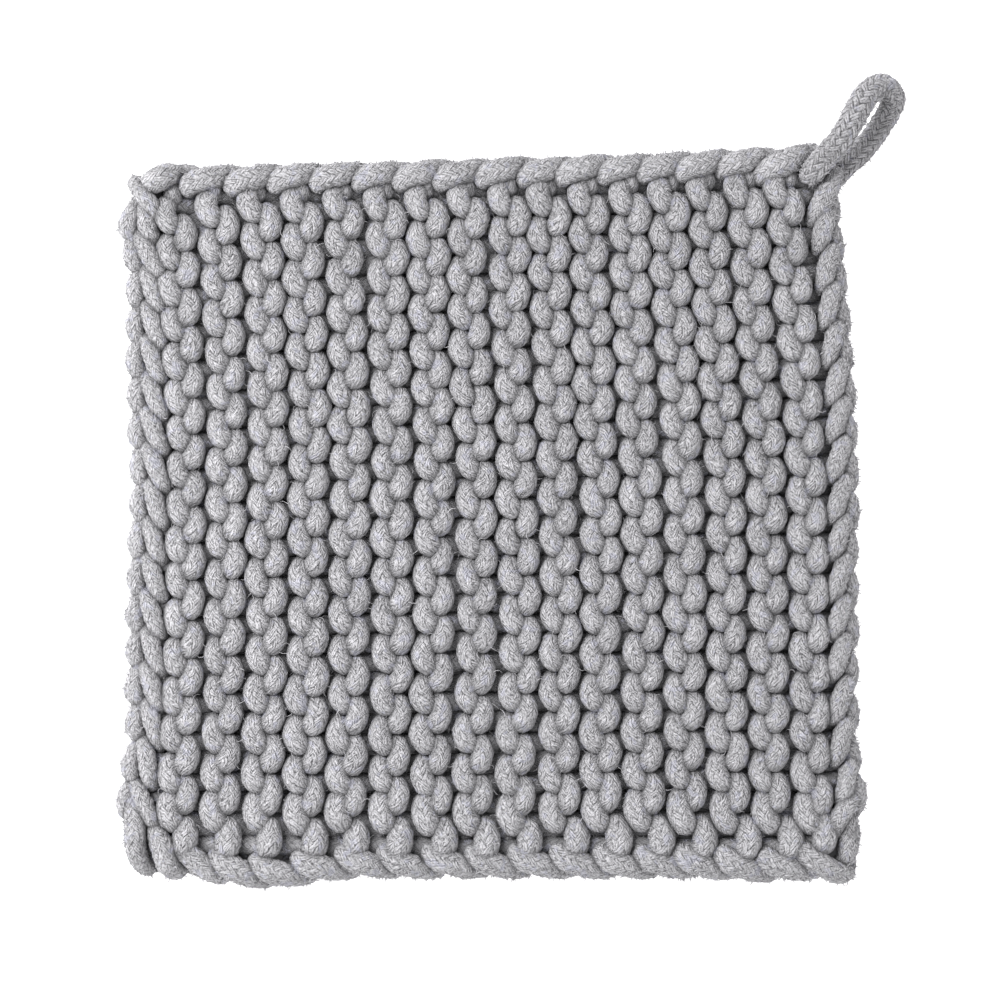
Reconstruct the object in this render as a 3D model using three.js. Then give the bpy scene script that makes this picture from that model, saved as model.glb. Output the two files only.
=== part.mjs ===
import * as THREE from 'three';
import { mergeVertices } from 'three/addons/utils/BufferGeometryUtils.js';

// Square coaster knitted in garter stitch from thick braided cotton cord, lying flat,
// with a hanging loop of the same cord at one corner.
// Millimetres, X to the right, Y away from the viewer, Z up, the underside on Z = 0.
// The ridges run along Y. The origin is the middle of the square's underside.

const CORD_DIAMETER = 6.4;
const RIDGE_COUNT = 16;
const STITCH_COUNT = 17;

// Heights of the upper face.
const CREST_TOP = 13.8;
const TUCK_TOP = 10.9;
const MIDDLE_TOP = 12.3;
const VALLEY_TOP = 8.2;
const RIM_TOP = 8.6;
const EDGE_CREST_TOP = 12.6;
const EDGE_DIP_TOP = 9.6;

// Heights of the underside, whose ribs lie flat on the table.
const RIM_UNDER = 4.4;
const EDGE_UNDER = 1.2;
const VALLEY_UNDER = 4.8;
const RIB_UNDER = 0;

// Sideways reach of the bumps from the middle of their ridge.
const BUMP_REACH = 2.95;
const TUCK_REACH = 2.1;

// Field of stitches, from the first valley to the last.
const FIELD_HALF_WIDTH = 89.2;
const FIELD_WAIST = 2.3;
const FIELD_SHOULDER = 0.00095;
const FIELD_FRONT = -84.5;
const FIELD_BACK = 82.3;
const PITCH_GROWTH = 0.0707;

// Outline of the whole square.
const LEFT_RIM = -99.1;
const RIGHT_RIM = 97.7;
const FRONT_RIM = -96.5;
const BACK_RIM = 95.7;
const BACK_RIM_RISE = 5.0;
const RIGHT_TAPER = 6.6;
const SCALLOP = 0.75;

// Slow swells of the outline: where they are, how far they reach, how deep they are.
const SWELLS = [
  { side: 'left', at: 77.8, reach: 6.5, depth: 2.0 },
  { side: 'left', at: 10.8, reach: 17.0, depth: -1.2 },
  { side: 'left', at: -74.3, reach: 10.5, depth: 2.5 },
  { side: 'left', at: 96.0, reach: 4.5, depth: -3.0 },
  { side: 'left', at: -96.0, reach: 4.0, depth: -2.0 },
  { side: 'right', at: -73.5, reach: 8.0, depth: 2.0 },
  { side: 'right', at: 96.0, reach: 5.0, depth: -1.5 },
  { side: 'right', at: -97.0, reach: 3.5, depth: -3.0 },
  { side: 'front', at: -62.5, reach: 15.0, depth: 2.6 },
  { side: 'front', at: 73.8, reach: 11.0, depth: 0.8 },
  { side: 'front', at: -99.0, reach: 4.5, depth: -3.5 },
  { side: 'back', at: -98.5, reach: 5.0, depth: -3.6 },
  { side: 'back', at: 91.5, reach: 5.5, depth: -6.5 },
];

// Bowl pressed into the corner by the cord that lies over it.
const CORNER_REST = { x: 86.0, y: 96.5, reach: 8.5, height: 8.4 };

// Path of the middle of the hanging loop's cord.
const LOOP_PATH = [
  { x: 85.9, y: 94.7, z: 12.6 },
  { x: 89.5, y: 98.9, z: 14.0 },
  { x: 92.8, y: 102.6, z: 15.1 },
  { x: 95.0, y: 106.3, z: 15.3 },
  { x: 97.5, y: 110.9, z: 14.6 },
  { x: 100.6, y: 115.5, z: 12.1 },
  { x: 104.4, y: 117.4, z: 9.3 },
  { x: 107.4, y: 114.8, z: 6.6 },
  { x: 106.9, y: 111.5, z: 4.8 },
  { x: 104.9, y: 108.0, z: 3.9 },
  { x: 102.6, y: 104.5, z: 3.5 },
  { x: 99.6, y: 100.8, z: 3.5 },
  { x: 96.9, y: 98.3, z: 3.5 },
  { x: 95.3, y: 96.9, z: 3.5 },
];
const LOOP_SIDES = 10;
const LOOP_STEPS = 34;

// How the stitches have crept from an even net. Both places are in units of CREEP_SPAN.
const CREEP_SPAN = 90;
const CREEP = [
  { xPower: 0, yPower: 0, sideways: 0, lengthways: -0.91 },
  { xPower: 1, yPower: 0, sideways: 0.77, lengthways: 1.26 },
  { xPower: 3, yPower: 0, sideways: -0.44, lengthways: -1.38 },
  { xPower: 0, yPower: 1, sideways: 0, lengthways: -0.97 },
  { xPower: 1, yPower: 1, sideways: -1.23, lengthways: -0.39 },
  { xPower: 2, yPower: 1, sideways: -0.16, lengthways: 0 },
  { xPower: 0, yPower: 2, sideways: 0, lengthways: 0.61 },
  { xPower: 0, yPower: 3, sideways: 0, lengthways: 1.6 },
];
// Sideways creep close to the back edge, by power of x, and close to the front edge.
const CREEP_AT_BACK = [3.04, 1.9, -3.35];
const CREEP_AT_FRONT = 0.81;
// Width of the strip along the left and the right edge where the creep dies away.
const CREEP_FADE = 12;

const COLUMN_JITTER = 0.22;
const HEIGHT_JITTER = 0.3;

function hash(a, b, c) {
  const s = Math.sin(a * 12.9898 + b * 78.233 + c * 37.719) * 43758.5453;
  return 2 * (s - Math.floor(s)) - 1;
}

function hump(t, at, reach) {
  const u = (t - at) / reach;
  return Math.exp(-u * u);
}

function swell(side, t) {
  let sum = 0;
  for (const row of SWELLS) {
    if (row.side === side) {
      sum += row.depth * hump(t, row.at, row.reach);
    }
  }
  return sum;
}

function leftRim(y) {
  return LEFT_RIM - swell('left', y);
}

function rightRim(y) {
  const t = Math.min(1, Math.max(0, (94 - y) / 94));
  return RIGHT_RIM - RIGHT_TAPER * (1 - t) * (1 - t) + swell('right', y);
}

function frontRim(x) {
  return FRONT_RIM - swell('front', x);
}

function backRim(x) {
  const t = Math.min(1, Math.max(0, (x + 91) / 173));
  return BACK_RIM + BACK_RIM_RISE * Math.pow(t, 1.5) + swell('back', x);
}

// First and last valley of the field, and the lines of half stitches.
function fieldLeft(y) {
  const t = y / 83;
  return -FIELD_HALF_WIDTH - FIELD_WAIST * t * t;
}

function fieldRight(y) {
  const above = Math.max(0, y);
  return FIELD_HALF_WIDTH + 0.2 - FIELD_SHOULDER * above * above;
}

function valleyX(index, y) {
  const t = index / RIDGE_COUNT;
  const wave = 0.35 * Math.sin(0.055 * y + 1.9 * index) + 0.25 * Math.sin(0.11 * y - 2.3 * index);
  const hold = Math.sin(Math.PI * t);
  return fieldLeft(y) * (1 - t) + fieldRight(y) * t + wave * hold;
}

function halfStitchY(level, x) {
  const s = x / 90;
  const cornerDip = 2.6 * hump(x, -92, 14);
  const far = FIELD_BACK + s + 2.2 * s * s * s - cornerDip;
  const near = FIELD_FRONT - 1.2 * s;
  const t = level / (2 * STITCH_COUNT - 2);
  const grown = t * (1 + PITCH_GROWTH) - PITCH_GROWTH * t * t;
  return near + (far - near) * grown;
}

function crept(x, y) {
  const u = x / CREEP_SPAN;
  const v = y / CREEP_SPAN;
  let sideways = CREEP_AT_FRONT * hump(y, -90, 18);
  let lengthways = 0;
  CREEP_AT_BACK.forEach((amount, power) => {
    sideways += amount * u ** power * hump(y, 95, 22);
  });
  for (const row of CREEP) {
    sideways += row.sideways * u ** row.xPower * v ** row.yPower;
    lengthways += row.lengthways * u ** row.xPower * v ** row.yPower;
  }
  const inwards = Math.min(x - valleyX(0, y), valleyX(RIDGE_COUNT, y) - x) / CREEP_FADE;
  const share = Math.min(1, Math.max(0, inwards));
  return [x + share * sideways, y + share * lengthways];
}

// Columns of the upper face, from left to right.
function upperColumns() {
  const columns = [
    { kind: 'leftRim' },
    { kind: 'leftOuter' },
    { kind: 'leftGroove' },
    { kind: 'leftBean' },
  ];
  for (let ridge = 0; ridge < RIDGE_COUNT; ridge += 1) {
    columns.push({ kind: 'valley', ridge, part: 0 });
    columns.push({ kind: 'leftBump', ridge, part: 0.25 });
    columns.push({ kind: 'middle', ridge, part: 0.5 });
    columns.push({ kind: 'rightBump', ridge, part: 0.75 });
  }
  columns.push({ kind: 'valley', ridge: RIDGE_COUNT, part: 0 });
  columns.push({ kind: 'rightBean' });
  columns.push({ kind: 'rightOuter' });
  columns.push({ kind: 'rightRim' });
  return columns;
}

// Columns of the underside: its ribs lie below the valleys of the upper face.
function underColumns() {
  const columns = [{ kind: 'leftRim' }, { kind: 'leftEdge' }];
  for (let rib = 0; rib <= RIDGE_COUNT; rib += 1) {
    columns.push({ kind: 'ribLeft', ridge: rib });
    columns.push({ kind: 'ribRight', ridge: rib });
    if (rib < RIDGE_COUNT) {
      columns.push({ kind: 'underValley', ridge: rib });
    }
  }
  columns.push({ kind: 'rightEdge' });
  columns.push({ kind: 'rightRim' });
  return columns;
}

// Rows of both faces, from the front edge to the back edge.
function allRows() {
  const rows = [{ kind: 'frontRim' }, { kind: 'frontBean' }, { kind: 'frontGroove' }];
  for (let level = 0; level < 2 * STITCH_COUNT; level += 1) {
    rows.push({ kind: 'stitch', level });
  }
  rows.push({ kind: 'backGroove' }, { kind: 'backBean' }, { kind: 'backRim' });
  return rows;
}

function rowY(row, x) {
  switch (row.kind) {
    case 'frontRim': return frontRim(x);
    case 'frontBean': return frontRim(x) + 3.1;
    case 'frontGroove': return frontRim(x) + 6.9;
    case 'backGroove': return backRim(x) - 6.9;
    case 'backBean': return backRim(x) - 3.3;
    case 'backRim': return backRim(x);
    default: return halfStitchY(row.level, x);
  }
}

// Each bean of the two cord edges leans: its ends shift along the row from line to line.
function beanLean(row) {
  switch (row.kind) {
    case 'frontRim': return 8.4;
    case 'frontBean': return 5.6;
    case 'frontGroove': return 2.4;
    case 'backGroove': return -1.5;
    case 'backBean': return -0.2;
    case 'backRim': return 1.1;
    default: return 0;
  }
}

function beanSwell(x, y, row) {
  const left = valleyX(0, y);
  const right = valleyX(RIDGE_COUNT, y);
  const phase = ((x - beanLean(row) - left) / (right - left)) * RIDGE_COUNT;
  return Math.pow(Math.abs(Math.sin(Math.PI * phase)), 0.6);
}

function isOdd(row) {
  return row.kind === 'stitch' && row.level % 2 === 1;
}

function sideSwell(row, shift) {
  return isOdd(row) === (shift === 0) ? 1 : 0;
}

function upperPoint(column, columnIndex, row, rowIndex) {
  const guessX = guess(column);
  let y = rowY(row, guessX);
  const inField = row.kind === 'stitch';
  const odd = isOdd(row);
  let x;
  let z;
  if (column.kind === 'leftRim') {
    x = leftRim(y) - SCALLOP * (sideSwell(row, 0) - 0.5) * 2;
    z = RIM_TOP;
  } else if (column.kind === 'leftOuter') {
    x = leftRim(y) + 2.0;
    z = EDGE_DIP_TOP + (EDGE_CREST_TOP - 1.4 - EDGE_DIP_TOP) * sideSwell(row, 0);
  } else if (column.kind === 'leftGroove') {
    x = leftRim(y) + 3.9;
    z = EDGE_DIP_TOP - 0.3;
  } else if (column.kind === 'leftBean') {
    x = leftRim(y) + 6.1 - 0.5 * (sideSwell(row, 1) - 0.5);
    z = EDGE_DIP_TOP + 0.6 + (EDGE_CREST_TOP - EDGE_DIP_TOP) * sideSwell(row, 1);
  } else if (column.kind === 'rightBean') {
    x = rightRim(y) - 5.0;
    z = EDGE_DIP_TOP + 0.8 + (EDGE_CREST_TOP - EDGE_DIP_TOP) * sideSwell(row, 0);
  } else if (column.kind === 'rightOuter') {
    x = rightRim(y) - 2.2;
    z = EDGE_DIP_TOP + (EDGE_CREST_TOP - 1.4 - EDGE_DIP_TOP) * sideSwell(row, 1);
  } else if (column.kind === 'rightRim') {
    x = rightRim(y) + SCALLOP * (sideSwell(row, 1) - 0.5) * 2;
    z = RIM_TOP;
  } else if (column.kind === 'valley') {
    x = valleyX(column.ridge, y);
    z = VALLEY_TOP;
  } else {
    const middle = (valleyX(column.ridge, y) + valleyX(column.ridge + 1, y)) / 2;
    if (column.kind === 'leftBump') {
      x = middle - (odd ? BUMP_REACH : TUCK_REACH);
      z = odd ? CREST_TOP : TUCK_TOP;
    } else if (column.kind === 'rightBump') {
      x = middle + (odd ? TUCK_REACH : BUMP_REACH);
      z = odd ? TUCK_TOP : CREST_TOP;
    } else {
      x = middle + (odd ? 0.5 : -0.5);
      z = MIDDLE_TOP;
    }
  }
  if (inField && column.ridge !== undefined) {
    z += HEIGHT_JITTER * hash(columnIndex, rowIndex, 1) - HEIGHT_JITTER;
    x += COLUMN_JITTER * hash(columnIndex, rowIndex, 2);
    y += COLUMN_JITTER * hash(columnIndex, rowIndex, 3);
    [x, y] = crept(x, y);
  }
  const cordRow = { frontBean: EDGE_CREST_TOP, backBean: EDGE_CREST_TOP };
  if (column.kind !== 'leftRim' && column.kind !== 'rightRim') {
    if (row.kind === 'frontRim' || row.kind === 'backRim') {
      z = RIM_TOP;
      y += (row.kind === 'frontRim' ? -1 : 1) * SCALLOP * (beanSwell(x, y, row) * 2 - 1.2);
    } else if (cordRow[row.kind] !== undefined) {
      z = EDGE_DIP_TOP + (EDGE_CREST_TOP - EDGE_DIP_TOP) * beanSwell(x, y, row);
    } else if (row.kind === 'frontGroove' || row.kind === 'backGroove') {
      z = Math.min(z, EDGE_DIP_TOP) - 0.4 + 0.8 * beanSwell(x, y, row);
    }
  }
  const rest = hump(Math.hypot(x - CORNER_REST.x, y - CORNER_REST.y), 0, CORNER_REST.reach);
  z = Math.min(z, z * (1 - rest) + Math.min(z, CORNER_REST.height) * rest);
  return [x, y, z];
}

function guess(column) {
  switch (column.kind) {
    case 'leftRim': return LEFT_RIM;
    case 'leftOuter': return LEFT_RIM + 2.0;
    case 'leftGroove': return LEFT_RIM + 3.9;
    case 'leftEdge': return LEFT_RIM + 3.2;
    case 'leftBean': return LEFT_RIM + 6.1;
    case 'rightBean': return RIGHT_RIM - 5.0;
    case 'rightOuter': return RIGHT_RIM - 2.2;
    case 'rightEdge': return RIGHT_RIM - 3.2;
    case 'rightRim': return RIGHT_RIM;
    case 'ribLeft': return valleyX(column.ridge, 0) - 2.4;
    case 'ribRight': return valleyX(column.ridge, 0) + 2.4;
    case 'underValley': return (valleyX(column.ridge, 0) + valleyX(column.ridge + 1, 0)) / 2;
    default: {
      const here = valleyX(column.ridge, 0);
      const next = column.part > 0 ? valleyX(column.ridge + 1, 0) : here;
      return here + (next - here) * column.part;
    }
  }
}

function underPoint(column, row) {
  const y = rowY(row, guess(column));
  const odd = isOdd(row);
  let x;
  let z;
  if (column.kind === 'leftRim') {
    x = leftRim(y) - SCALLOP * (sideSwell(row, 0) - 0.5) * 2;
    z = RIM_UNDER;
  } else if (column.kind === 'leftEdge') {
    x = leftRim(y) + 3.2;
    z = EDGE_UNDER + (odd ? 0 : 0.8);
  } else if (column.kind === 'rightEdge') {
    x = rightRim(y) - 3.2;
    z = EDGE_UNDER + (odd ? 0.8 : 0);
  } else if (column.kind === 'rightRim') {
    x = rightRim(y) + SCALLOP * (sideSwell(row, 1) - 0.5) * 2;
    z = RIM_UNDER;
  } else if (column.kind === 'ribLeft') {
    x = valleyX(column.ridge, y) - (odd ? 2.1 : 2.9);
    z = RIB_UNDER;
  } else if (column.kind === 'ribRight') {
    x = valleyX(column.ridge, y) + (odd ? 2.9 : 2.1);
    z = RIB_UNDER;
  } else {
    x = (valleyX(column.ridge, y) + valleyX(column.ridge + 1, y)) / 2;
    z = VALLEY_UNDER;
  }
  let yOut = y;
  if (row.kind !== 'stitch' && column.kind !== 'leftRim' && column.kind !== 'rightRim') {
    const swellHere = beanSwell(x, y, row);
    if (row.kind === 'frontRim' || row.kind === 'backRim') {
      z = RIM_UNDER;
      yOut += (row.kind === 'frontRim' ? -1 : 1) * SCALLOP * (swellHere * 2 - 1.2);
    } else if (row.kind === 'frontBean' || row.kind === 'backBean') {
      z = EDGE_UNDER + 0.8 * (1 - swellHere);
    } else {
      z = Math.max(z, 3.4);
    }
  }
  if (row.kind === 'stitch' && column.ridge !== undefined) {
    [x, yOut] = crept(x, yOut);
  }
  return [x, yOut, z];
}

function grid(columns, rows, pointOf) {
  return rows.map((row, r) => columns.map((column, c) => pointOf(column, c, row, r)));
}

function ringSides(columnCount, rowCount) {
  const front = [];
  const right = [];
  const back = [];
  const left = [];
  for (let c = 0; c < columnCount; c += 1) {
    front.push([0, c]);
    back.push([rowCount - 1, columnCount - 1 - c]);
  }
  for (let r = 0; r < rowCount; r += 1) {
    right.push([r, columnCount - 1]);
    left.push([rowCount - 1 - r, 0]);
  }
  return [front, right, back, left];
}

function squareGeometry() {
  const upColumns = upperColumns();
  const downColumns = underColumns();
  const rows = allRows();
  const upper = grid(upColumns, rows, upperPoint);
  const under = grid(downColumns, rows, (column, c, row) => underPoint(column, row));
  const positions = [];
  const index = [];

  function store(points) {
    return points.map((line) => line.map((point) => {
      positions.push(point[0], point[1], point[2]);
      return positions.length / 3 - 1;
    }));
  }

  const top = store(upper);
  const bottom = store(under);

  function spread(a, b) {
    const dx = positions[3 * a] - positions[3 * b];
    const dy = positions[3 * a + 1] - positions[3 * b + 1];
    const dz = positions[3 * a + 2] - positions[3 * b + 2];
    return dx * dx + dy * dy + dz * dz;
  }

  // Each cell is split along the diagonal that keeps the raised corners joined.
  function cover(cells, facingUp, columnCount) {
    for (let r = 0; r + 1 < rows.length; r += 1) {
      for (let c = 0; c + 1 < columnCount; c += 1) {
        const a = cells[r][c];
        const b = cells[r][c + 1];
        const d = cells[r + 1][c + 1];
        const e = cells[r + 1][c];
        const rise = positions[3 * a + 2] + positions[3 * d + 2];
        const fall = positions[3 * b + 2] + positions[3 * e + 2];
        const splitAD = facingUp ? rise >= fall : rise <= fall;
        const faces = splitAD ? [[a, b, d], [a, d, e]] : [[a, b, e], [b, d, e]];
        for (const [p, q, s] of faces) {
          if (facingUp) {
            index.push(p, q, s);
          } else {
            index.push(p, s, q);
          }
        }
      }
    }
  }

  cover(top, true, upColumns.length);
  cover(bottom, false, downColumns.length);

  // The wall joins the two rims side by side, always by the shorter next edge.
  const topSides = ringSides(upColumns.length, rows.length);
  const bottomSides = ringSides(downColumns.length, rows.length);
  for (let side = 0; side < 4; side += 1) {
    const high = topSides[side].map(([r, c]) => top[r][c]);
    const low = bottomSides[side].map(([r, c]) => bottom[r][c]);
    let h = 0;
    let l = 0;
    while (h + 1 < high.length || l + 1 < low.length) {
      const canHigh = h + 1 < high.length;
      const canLow = l + 1 < low.length;
      const takeHigh = canHigh && (!canLow || spread(high[h + 1], low[l]) <= spread(high[h], low[l + 1]));
      if (takeHigh) {
        index.push(low[l], high[h + 1], high[h]);
        h += 1;
      } else {
        index.push(low[l], low[l + 1], high[h]);
        l += 1;
      }
    }
  }

  const geometry = new THREE.BufferGeometry();
  geometry.setAttribute('position', new THREE.Float32BufferAttribute(positions, 3));
  geometry.setIndex(index);
  geometry.computeVertexNormals();
  return geometry;
}

function loopGeometry() {
  const points = LOOP_PATH.map((row) => new THREE.Vector3(row.x, row.y, row.z));
  const path = new THREE.CatmullRomCurve3(points, false, 'centripetal');
  const section = new THREE.Shape();
  for (let i = 0; i < LOOP_SIDES; i += 1) {
    const angle = (2 * Math.PI * i) / LOOP_SIDES;
    const px = (CORD_DIAMETER / 2) * Math.cos(angle);
    const py = (CORD_DIAMETER / 2) * Math.sin(angle);
    if (i === 0) {
      section.moveTo(px, py);
    } else {
      section.lineTo(px, py);
    }
  }
  section.closePath();
  const tube = new THREE.ExtrudeGeometry(section, {
    steps: LOOP_STEPS,
    curveSegments: 1,
    bevelEnabled: false,
    extrudePath: path,
  });
  tube.deleteAttribute('uv');
  tube.deleteAttribute('normal');
  const geometry = mergeVertices(tube, 1e-4);
  geometry.computeVertexNormals();
  return geometry;
}

function cottonMaterial(color) {
  return new THREE.MeshStandardMaterial({ color, roughness: 0.95, metalness: 0 });
}

function namedMesh(name, geometry, material) {
  const mesh = new THREE.Mesh(geometry, material);
  mesh.name = name;
  return mesh;
}

const coaster = new THREE.Group();
coaster.name = 'coaster';
coaster.add(namedMesh('knitted_square', squareGeometry(), cottonMaterial(0xb4b2b6)));
coaster.add(namedMesh('hanging_loop', loopGeometry(), cottonMaterial(0xb2b0b4)));

export default coaster;
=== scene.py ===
"""Square coaster knitted in garter stitch from thick grey braided cotton cord.

Every row of the knitting, the chain edges and the hanging loop are real cord.
Tables and shape functions are in millimetres. Meshes, node trees and the settings
that a user changes are in metres.
"""
import math
from functools import partial

import bpy
import numpy as np
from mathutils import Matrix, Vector


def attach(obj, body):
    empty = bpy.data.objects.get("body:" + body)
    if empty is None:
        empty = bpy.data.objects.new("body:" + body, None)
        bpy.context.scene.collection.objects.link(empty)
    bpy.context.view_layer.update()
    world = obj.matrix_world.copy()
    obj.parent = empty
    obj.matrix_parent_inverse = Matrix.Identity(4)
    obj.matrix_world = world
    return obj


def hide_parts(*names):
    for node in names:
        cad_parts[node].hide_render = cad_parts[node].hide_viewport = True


bl_info = {
    "name": "Knitted cord coaster",
    "version": (1, 0, 0),
    "blender": (4, 5, 0),
    "location": "View3D > Sidebar > Coaster",
    "description": "Builds a garter stitch coaster of braided cotton cord with a hanging loop",
    "category": "Object",
}

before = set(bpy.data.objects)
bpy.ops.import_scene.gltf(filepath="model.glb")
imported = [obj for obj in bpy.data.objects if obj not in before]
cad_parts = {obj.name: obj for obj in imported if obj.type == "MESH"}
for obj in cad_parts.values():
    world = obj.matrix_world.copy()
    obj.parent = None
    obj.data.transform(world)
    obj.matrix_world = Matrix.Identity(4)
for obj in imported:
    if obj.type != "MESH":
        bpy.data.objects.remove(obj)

MM = 0.001
SEED = 20
BODY = "root"
ROWS = ("rows_turned_right", "rows_turned_left")
EDGES = ("edge_back", "edge_front", "edge_left", "edge_right")

# Field of stitches, from the first valley to the last, as in the solids.
FIELD_HALF_WIDTH = 89.2
FIELD_RIGHT_EXTRA = 0.2
FIELD_WAIST = 2.3
FIELD_HALF_LENGTH = 83.0
FIELD_SHOULDER = 0.00095
FIELD_SPAN = 90.0
FIELD_FRONT = -84.5
FIELD_FRONT_LEAN = 1.2
FIELD_BACK = 82.3
FIELD_BACK_BEND = 2.2
# Dip of the last stitches at the left end: place, reach, depth.
FIELD_BACK_DIP = (-92.0, 14.0, 2.6)
PITCH_GROWTH = 0.0707
# Waver of the valleys: amount, turn by millimetre, turn by ridge.
VALLEY_WAVER = ((0.35, 0.055, 1.9), (0.25, 0.11, -2.3))

# Outline of the whole square, as in the solids.
LEFT_RIM = -99.1
RIGHT_RIM = 97.7
RIGHT_TAPER = 6.6
RIGHT_TAPER_LENGTH = 94.0
FRONT_RIM = -96.5
BACK_RIM = 95.7
BACK_RIM_RISE = 5.0
BACK_RISE_FROM = -91.0
BACK_RISE_LENGTH = 173.0
BACK_RISE_POWER = 1.5
# Past this place the back rim dips into the loop's corner.
BACK_RIM_END = 84.0

# Slow swells of the outline: side, place along it, reach, depth.
SWELLS = (
    ("left", 77.8, 6.5, 2.0),
    ("left", 10.8, 17.0, -1.2),
    ("left", -74.3, 10.5, 2.5),
    ("left", 96.0, 4.5, -3.0),
    ("left", -96.0, 4.0, -2.0),
    ("right", -73.5, 8.0, 2.0),
    ("right", 96.0, 5.0, -1.5),
    ("right", -97.0, 3.5, -3.0),
    ("front", -62.5, 15.0, 2.6),
    ("front", 73.8, 11.0, 0.8),
    ("front", -99.0, 4.5, -3.5),
    ("back", -98.5, 5.0, -3.6),
    ("back", 91.5, 5.5, -6.5),
)

# How a row's cord runs over a bump: it hurries along it, bows outwards, and turns
# down steeply at both ends, with the lower end higher than the upper one.
CLOSE = 1.12
BUMP_HURRY = 0.25
BUMP_BOW = 0.33
BUMP_SQUARE = 6.0
BUMP_DIVE = 1.5
BUMP_LEAN = 0.10
BUMP_TILT = 0.8
BUMP_DROP = 0.4
HEAD_SKEW = 0.15
TURN_SKEW = 0.55
PLUMP_POWER = 0.5
FACE_GAP = 0.1
ROW_SINK = 0.15
CLEAR_OF_TABLE = 0.05

# Points of a row's cord in each stitch, and where the rows start and end, in stitches.
ROW_STEPS = 22
HEAD_END = 0.10
TURN_START = -0.42
TURN_END = 0.58

# How far a stitch may stray at random.
STRAY_ALONG = 0.5
STRAY_ACROSS = 0.42
STRAY_UP = 0.28
STRAY_RADIUS = 0.18
LINK_STRAY = 0.3

# Bulge in the radius of every head: place in the stitch, reach, height.
HEAD_BULGE = (0.7, 0.12, 0.2)

# The first head of a row is pulled towards the chain of the front edge: its place and
# reach in stitches, the pull across and its growth with x, the pull lengthways, the
# lean of its two halves, and what it adds to the radius there and just behind.
FIRST_HEAD = (0.5, 0.34)
FIRST_HEAD_ACROSS = 1.3
FIRST_HEAD_GROWTH = 0.020
FIRST_HEAD_DROP = 0.8
FIRST_HEAD_LEAN = (5.5, -2.5)
FIRST_HEAD_SWELL = 0.42
FIRST_HEAD_BULGE = (0.74, 0.13, 0.3)
LAST_RIDGE_SHIFT = (-3.0, 2.8)

# The first turn of a row: its place and reach, how it shifts, what it adds to the radius.
FIRST_TURN = (0.0, 0.4)
FIRST_TURN_SHIFT = (0.4, 1.1)
FIRST_TURN_SWELL = 0.35

# How the stitches have crept: power of x, power of y, sideways, lengthways.
# Both places are in units of CREEP_SPAN.
CREEP_SPAN = 90.0
CREEP = (
    (0, 0, 0.0, -0.91),
    (1, 0, 0.77, 1.26),
    (3, 0, -0.44, -1.38),
    (0, 1, 0.0, -0.97),
    (1, 1, -1.23, -0.39),
    (2, 1, -0.16, 0.0),
    (0, 2, 0.0, 0.61),
    (0, 3, 0.0, 1.6),
)
# Sideways creep close to the back edge, by power of x, with its place and reach.
CREEP_AT_BACK = (3.04, 1.9, -3.35)
CREEP_BACK_Y = (95.0, 22.0)
# Sideways creep close to the front edge: place, reach, amount.
CREEP_AT_FRONT = (-90.0, 18.0, 0.81)
# Sideways creep near the back left corner: place across, reach and amount, and then
# place along and reach.
CREEP_AT_CORNER = (-90.0, 13.0, -1.3)
CREEP_CORNER_Y = (58.0, 20.0)
# The front stitches of the ridges on the right lie further back: place along, reach and
# amount, and the place across where this starts and how far it takes to grow.
RIGHT_RISE = (-70.0, 12.0, 1.0)
RIGHT_RISE_FROM = 5.0
RIGHT_RISE_RAMP = 25.0

# Small shifts of the stitches: where, how far they reach, sideways, lengthways.
NUDGES = (
    (30.0, 24.0, 14.0, 24.0, -1.0, 0.3),
    (-48.0, -6.0, 18.0, 18.0, -0.4, 0.7),
    (10.0, -27.0, 16.0, 15.0, 0.6, 0.0),
    (-21.0, 70.0, 10.0, 12.0, 0.6, 0.0),
)

# Painted shade where cords meet: how deep inside another cord a surface is fully dark, how far that
# darkness fades, how dark it is, and how far away other cords are looked for.
CREASE_IN = 0.15
CREASE_WIDTH = 1.1
CREASE_SHADE = 0.62
CREASE_SEARCH = 4.5

# Strands that show this deep between the ridges get painted shade too.
DEEP_TOP = 10.8
DEEP_FADE = 3.0
DEEP_SHADE = 0.9

# Round cap at a cord's end: its length and the size of its shoulder in radii, how far
# along it the shoulder is, and the radius of its tip.
CAP_REACH = 0.6
CAP_SHOULDER = 0.72
CAP_EASE = 0.65
CAP_POINT = 1e-4

# Points closer than this become one, and how far a cord's surface stays above the table,
# in metres.
MERGE_REACH = 2e-6
ABOVE_TABLE = 2e-5

# Length of cord that the map of its surface takes as one, in metres, and the plaits
# around the cord and along that length, on the knitting and on the loop.
MAP_LENGTH = 0.02
KNIT_PLAITS = (12.0, 11.0)
LOOP_PLAITS = (10.0, 9.0)
# How crisply the plaits show.
KNIT_CRISP = 0.8
LOOP_CRISP = 1.0
LOOSEST = 1.5
# The loop's cotton is painted darker than the knitting's, by this share, as painted shade.
LOOP_PAINTED_SHADE = 0.88

# Loose fibres: share of the hairs, length, thickness, bends.
FUZZ_ROWS = (0.45, 2.2, 0.085, 2)
FUZZ_EDGES = (1.05, 1.05, 0.2, 1)
FUZZ_LOOP = (0.12, 0.9, 0.15, 1)

# Layer of pressed strands inside: its cells each way, half its length, how far it stays
# inside the rim, half its thickness, its height and the height of its waves.
GROUND_CELLS = 92
GROUND_SPAN = 92.0
GROUND_INSET = 4.5
GROUND_HALF = 0.8
GROUND_HEIGHT = 6.2
GROUND_WAVE = 0.5

# Stage, in metres: lamps by name, place, size and power.
LAMPS = (
    ("key", (-1.0, 0.8, 1.3), 0.9, 37.0),
    ("fill", (0.6, -0.95, 1.1), 1.4, 11.0),
    ("side", (-0.27, 0.0, 0.12), 0.2, 0.33),
)
FLOOR_HALF = 3.0
CAMERA_PLACE = (0.000945, 0.0054)
SENSOR = 36.0
# Height of the level at which the picture's width is measured.
SEEN_HEIGHT = 0.010


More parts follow.
